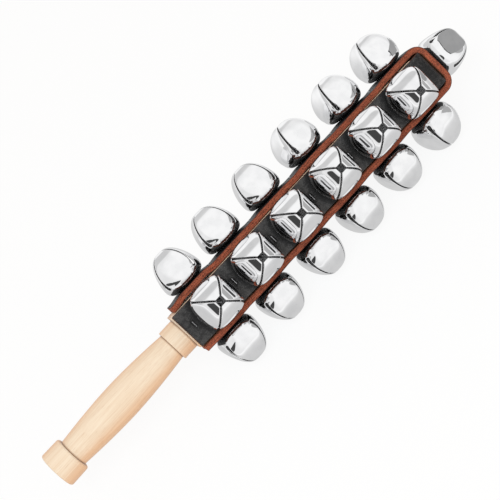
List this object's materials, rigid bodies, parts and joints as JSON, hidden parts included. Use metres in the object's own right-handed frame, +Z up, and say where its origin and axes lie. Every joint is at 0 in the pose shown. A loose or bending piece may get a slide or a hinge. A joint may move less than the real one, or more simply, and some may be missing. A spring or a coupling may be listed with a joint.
{
  "type": "jingle stick",
  "caption": "Hand-held jingle stick: chromed jingle bells riveted to crossed leather straps around a wooden core with a turned handle; shaken, its loose pellets ring the bells.",
  "frame": {"origin": "middle of the box on the surface that the stick lies on; it rests on the bells of its right and back rows", "axes": "+X along the stick from the pommel to the tip, +Z up; the front and left faces are turned up at 45 degrees, to -Y and +Y"},
  "size_m": [0.3736, 0.0702, 0.0702],
  "materials": {
    "pale_wood": "sanded pale hardwood, thinly lacquered",
    "strap_leather": "thick black grained leather with bare red-brown cut edges",
    "bell_chrome": "bright chrome plate",
    "pellet_steel": "plain steel ball",
    "staple_steel": "dark steel wire"
  },
  "bodies": {
    "stick": {"wooden_stick": "pale_wood", "face_strap": "strap_leather", "side_strap": "strap_leather", "front_staple_1": "staple_steel", "front_staple_2": "staple_steel", "front_staple_3": "staple_steel", "front_staple_4": "staple_steel", "front_staple_5": "staple_steel", "front_staple_6": "staple_steel", "front_bell_1": "bell_chrome", "front_bell_2": "bell_chrome", "front_bell_3": "bell_chrome", "front_bell_4": "bell_chrome", "front_bell_5": "bell_chrome", "front_bell_6": "bell_chrome", "left_bell_1": "bell_chrome", "left_bell_2": "bell_chrome", "left_bell_3": "bell_chrome", "left_bell_4": "bell_chrome", "left_bell_5": "bell_chrome", "left_bell_6": "bell_chrome", "back_bell_1": "bell_chrome", "back_bell_2": "bell_chrome", "back_bell_3": "bell_chrome", "back_bell_4": "bell_chrome", "back_bell_5": "bell_chrome", "back_bell_6": "bell_chrome", "right_bell_1": "bell_chrome", "right_bell_2": "bell_chrome", "right_bell_3": "bell_chrome", "right_bell_4": "bell_chrome", "right_bell_5": "bell_chrome", "right_bell_6": "bell_chrome", "tip_bell": "bell_chrome"},
    "front_pellet_1": {"front_pellet_1": "pellet_steel"},
    "front_pellet_2": {"front_pellet_2": "pellet_steel"},
    "front_pellet_3": {"front_pellet_3": "pellet_steel"},
    "front_pellet_4": {"front_pellet_4": "pellet_steel"},
    "front_pellet_5": {"front_pellet_5": "pellet_steel"},
    "front_pellet_6": {"front_pellet_6": "pellet_steel"},
    "left_pellet_1": {"left_pellet_1": "pellet_steel"},
    "left_pellet_2": {"left_pellet_2": "pellet_steel"},
    "left_pellet_3": {"left_pellet_3": "pellet_steel"},
    "left_pellet_4": {"left_pellet_4": "pellet_steel"},
    "left_pellet_5": {"left_pellet_5": "pellet_steel"},
    "left_pellet_6": {"left_pellet_6": "pellet_steel"},
    "back_pellet_1": {"back_pellet_1": "pellet_steel"},
    "back_pellet_2": {"back_pellet_2": "pellet_steel"},
    "back_pellet_3": {"back_pellet_3": "pellet_steel"},
    "back_pellet_4": {"back_pellet_4": "pellet_steel"},
    "back_pellet_5": {"back_pellet_5": "pellet_steel"},
    "back_pellet_6": {"back_pellet_6": "pellet_steel"},
    "right_pellet_1": {"right_pellet_1": "pellet_steel"},
    "right_pellet_2": {"right_pellet_2": "pellet_steel"},
    "right_pellet_3": {"right_pellet_3": "pellet_steel"},
    "right_pellet_4": {"right_pellet_4": "pellet_steel"},
    "right_pellet_5": {"right_pellet_5": "pellet_steel"},
    "right_pellet_6": {"right_pellet_6": "pellet_steel"},
    "tip_pellet": {"tip_pellet": "pellet_steel"}
  },
  "joints": [
    {"name": "front_pellet_1_rattle", "type": "slide", "parent": "stick", "child": "front_pellet_1", "axis": [0, -0.7071, 0.7071], "range_m": [0, 0.015]},
    {"name": "front_pellet_2_rattle", "type": "slide", "parent": "stick", "child": "front_pellet_2", "axis": [0, -0.7071, 0.7071], "range_m": [0, 0.015]},
    {"name": "front_pellet_3_rattle", "type": "slide", "parent": "stick", "child": "front_pellet_3", "axis": [0, -0.7071, 0.7071], "range_m": [0, 0.015]},
    {"name": "front_pellet_4_rattle", "type": "slide", "parent": "stick", "child": "front_pellet_4", "axis": [0, -0.7071, 0.7071], "range_m": [0, 0.015]},
    {"name": "front_pellet_5_rattle", "type": "slide", "parent": "stick", "child": "front_pellet_5", "axis": [0, -0.7071, 0.7071], "range_m": [0, 0.015]},
    {"name": "front_pellet_6_rattle", "type": "slide", "parent": "stick", "child": "front_pellet_6", "axis": [0, -0.7071, 0.7071], "range_m": [0, 0.015]},
    {"name": "left_pellet_1_rattle", "type": "slide", "parent": "stick", "child": "left_pellet_1", "axis": [0, 0.7071, 0.7071], "range_m": [0, 0.015]},
    {"name": "left_pellet_2_rattle", "type": "slide", "parent": "stick", "child": "left_pellet_2", "axis": [0, 0.7071, 0.7071], "range_m": [0, 0.015]},
    {"name": "left_pellet_3_rattle", "type": "slide", "parent": "stick", "child": "left_pellet_3", "axis": [0, 0.7071, 0.7071], "range_m": [0, 0.015]},
    {"name": "left_pellet_4_rattle", "type": "slide", "parent": "stick", "child": "left_pellet_4", "axis": [0, 0.7071, 0.7071], "range_m": [0, 0.015]},
    {"name": "left_pellet_5_rattle", "type": "slide", "parent": "stick", "child": "left_pellet_5", "axis": [0, 0.7071, 0.7071], "range_m": [0, 0.015]},
    {"name": "left_pellet_6_rattle", "type": "slide", "parent": "stick", "child": "left_pellet_6", "axis": [0, 0.7071, 0.7071], "range_m": [0, 0.015]},
    {"name": "back_pellet_1_rattle", "type": "slide", "parent": "stick", "child": "back_pellet_1", "axis": [0, -0.7071, 0.7071], "range_m": [0, 0.015]},
    {"name": "back_pellet_2_rattle", "type": "slide", "parent": "stick", "child": "back_pellet_2", "axis": [0, -0.7071, 0.7071], "range_m": [0, 0.015]},
    {"name": "back_pellet_3_rattle", "type": "slide", "parent": "stick", "child": "back_pellet_3", "axis": [0, -0.7071, 0.7071], "range_m": [0, 0.015]},
    {"name": "back_pellet_4_rattle", "type": "slide", "parent": "stick", "child": "back_pellet_4", "axis": [0, -0.7071, 0.7071], "range_m": [0, 0.015]},
    {"name": "back_pellet_5_rattle", "type": "slide", "parent": "stick", "child": "back_pellet_5", "axis": [0, -0.7071, 0.7071], "range_m": [0, 0.015]},
    {"name": "back_pellet_6_rattle", "type": "slide", "parent": "stick", "child": "back_pellet_6", "axis": [0, -0.7071, 0.7071], "range_m": [0, 0.015]},
    {"name": "right_pellet_1_rattle", "type": "slide", "parent": "stick", "child": "right_pellet_1", "axis": [0, 0.7071, 0.7071], "range_m": [0, 0.015]},
    {"name": "right_pellet_2_rattle", "type": "slide", "parent": "stick", "child": "right_pellet_2", "axis": [0, 0.7071, 0.7071], "range_m": [0, 0.015]},
    {"name": "right_pellet_3_rattle", "type": "slide", "parent": "stick", "child": "right_pellet_3", "axis": [0, 0.7071, 0.7071], "range_m": [0, 0.015]},
    {"name": "right_pellet_4_rattle", "type": "slide", "parent": "stick", "child": "right_pellet_4", "axis": [0, 0.7071, 0.7071], "range_m": [0, 0.015]},
    {"name": "right_pellet_5_rattle", "type": "slide", "parent": "stick", "child": "right_pellet_5", "axis": [0, 0.7071, 0.7071], "range_m": [0, 0.015]},
    {"name": "right_pellet_6_rattle", "type": "slide", "parent": "stick", "child": "right_pellet_6", "axis": [0, 0.7071, 0.7071], "range_m": [0, 0.015]},
    {"name": "tip_pellet_rattle", "type": "slide", "parent": "stick", "child": "tip_pellet", "axis": [0, -0.7071, 0.7071], "range_m": [0, 0.0168]}
  ]
}
